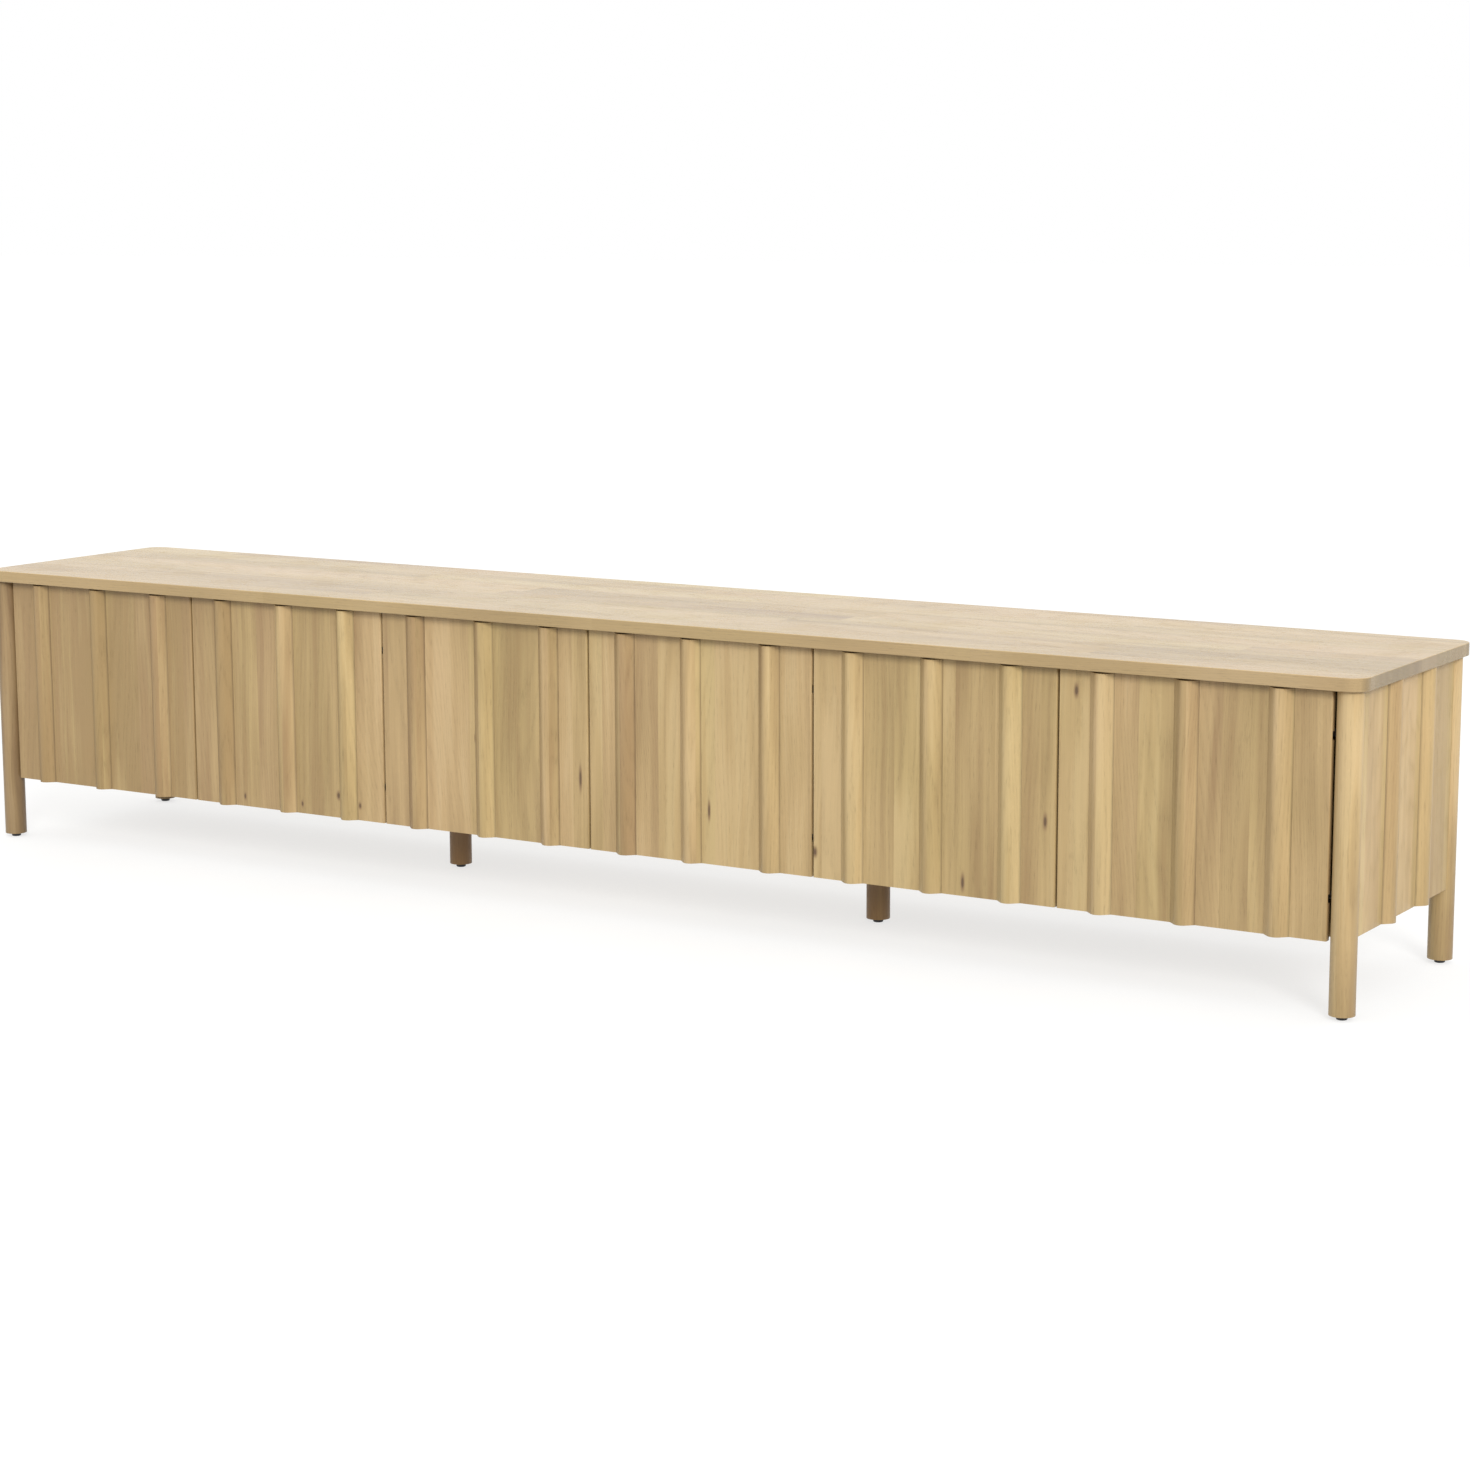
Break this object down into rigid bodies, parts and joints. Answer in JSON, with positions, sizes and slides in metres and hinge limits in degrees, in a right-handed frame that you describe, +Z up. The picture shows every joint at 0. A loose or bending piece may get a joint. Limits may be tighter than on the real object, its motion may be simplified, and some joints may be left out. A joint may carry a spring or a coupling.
{
  "type": "media cabinet",
  "caption": "Low oak media cabinet on round corner legs, with ribbed hinged doors, a flush rounded top, inner shelves and cable outlets.",
  "frame": {"origin": "on the floor, in the middle of the footprint", "axes": "+X to the right seen from the front, -Y towards the front, +Z up"},
  "size_m": [2.4, 0.42, 0.45],
  "materials": {
    "oak_top": "matt lacquered oak, staves along the length",
    "oak_board": "matt lacquered oak, upright grain",
    "oak_rib": "matt lacquered oak, upright grain",
    "oak_leg": "matt lacquered turned oak",
    "oak_panel": "matt lacquered oak-faced board",
    "oak_back": "matt lacquered oak-faced thin board",
    "beech": "plain beech dowel",
    "zinc": "satin plated hinge metal",
    "steel": "bright steel",
    "latch": "moulded grey-brown plastic",
    "glide": "black plastic"
  },
  "bodies": {
    "root": {"back_panel_centre": "oak_back", "back_panel_left": "oak_back", "back_panel_right": "oak_back", "bottom_panel": "oak_panel", "carcass_side_left": "oak_panel", "carcass_side_right": "oak_panel", "hinge_arms": "zinc", "hinge_screws": "steel", "latch_housings": "latch", "leg_back_left": "oak_leg", "leg_back_right": "oak_leg", "leg_dowels": "beech", "leg_front_left": "oak_leg", "leg_front_right": "oak_leg", "leg_glides": "glide", "leg_middle_left": "oak_leg", "leg_middle_right": "oak_leg", "partition_left": "oak_panel", "partition_right": "oak_panel", "shelf_centre": "oak_panel", "shelf_left": "oak_panel", "shelf_pins": "steel", "shelf_right": "oak_panel", "side_boards_left": "oak_board", "side_boards_right": "oak_board", "side_ribs_left": "oak_rib", "side_ribs_right": "oak_rib", "top_panel": "oak_top", "top_rail_back": "oak_panel", "top_rail_front": "oak_panel"},
    "door_1": {"door_1_boards": "oak_board", "door_1_hinge_blocks": "zinc", "door_1_hinge_pins": "steel", "door_1_ribs": "oak_rib"},
    "latch_1": {"latch_plunger_1": "latch"},
    "door_2": {"door_2_boards": "oak_board", "door_2_hinge_blocks": "zinc", "door_2_hinge_pins": "steel", "door_2_ribs": "oak_rib"},
    "latch_2": {"latch_plunger_2": "latch"},
    "door_3": {"door_3_boards": "oak_board", "door_3_hinge_blocks": "zinc", "door_3_hinge_pins": "steel", "door_3_ribs": "oak_rib"},
    "latch_3": {"latch_plunger_3": "latch"},
    "door_4": {"door_4_boards": "oak_board", "door_4_hinge_blocks": "zinc", "door_4_hinge_pins": "steel", "door_4_ribs": "oak_rib"},
    "latch_4": {"latch_plunger_4": "latch"},
    "door_5": {"door_5_boards": "oak_board", "door_5_hinge_blocks": "zinc", "door_5_hinge_pins": "steel", "door_5_ribs": "oak_rib"},
    "latch_5": {"latch_plunger_5": "latch"},
    "door_6": {"door_6_boards": "oak_board", "door_6_hinge_blocks": "zinc", "door_6_hinge_pins": "steel", "door_6_ribs": "oak_rib"},
    "latch_6": {"latch_plunger_6": "latch"}
  },
  "joints": [
    {"name": "door_1_hinge", "type": "hinge", "parent": "root", "child": "door_1", "pos_m": [-1.133, -0.185, 0.2655], "axis": [0, 0, -1], "range_deg": [0, 90]},
    {"name": "door_2_hinge", "type": "hinge", "parent": "root", "child": "door_2", "pos_m": [-0.4039, -0.185, 0.2655], "axis": [0, 0, 1], "range_deg": [0, 90]},
    {"name": "door_3_hinge", "type": "hinge", "parent": "root", "child": "door_3", "pos_m": [-0.3609, -0.185, 0.2655], "axis": [0, 0, -1], "range_deg": [0, 90]},
    {"name": "door_4_hinge", "type": "hinge", "parent": "root", "child": "door_4", "pos_m": [0.3609, -0.185, 0.2655], "axis": [0, 0, 1], "range_deg": [0, 90]},
    {"name": "door_5_hinge", "type": "hinge", "parent": "root", "child": "door_5", "pos_m": [0.4039, -0.185, 0.2655], "axis": [0, 0, -1], "range_deg": [0, 90]},
    {"name": "door_6_hinge", "type": "hinge", "parent": "root", "child": "door_6", "pos_m": [1.133, -0.185, 0.2655], "axis": [0, 0, 1], "range_deg": [0, 90]},
    {"name": "latch_1_push", "type": "slide", "parent": "root", "child": "latch_1", "axis": [0, 1, 0], "range_m": [0, 0.003], "stiffness_N_per_m": 300},
    {"name": "latch_2_push", "type": "slide", "parent": "root", "child": "latch_2", "axis": [0, 1, 0], "range_m": [0, 0.003], "stiffness_N_per_m": 300},
    {"name": "latch_3_push", "type": "slide", "parent": "root", "child": "latch_3", "axis": [0, 1, 0], "range_m": [0, 0.003], "stiffness_N_per_m": 300},
    {"name": "latch_4_push", "type": "slide", "parent": "root", "child": "latch_4", "axis": [0, 1, 0], "range_m": [0, 0.003], "stiffness_N_per_m": 300},
    {"name": "latch_5_push", "type": "slide", "parent": "root", "child": "latch_5", "axis": [0, 1, 0], "range_m": [0, 0.003], "stiffness_N_per_m": 300},
    {"name": "latch_6_push", "type": "slide", "parent": "root", "child": "latch_6", "axis": [0, 1, 0], "range_m": [0, 0.003], "stiffness_N_per_m": 300}
  ]
}
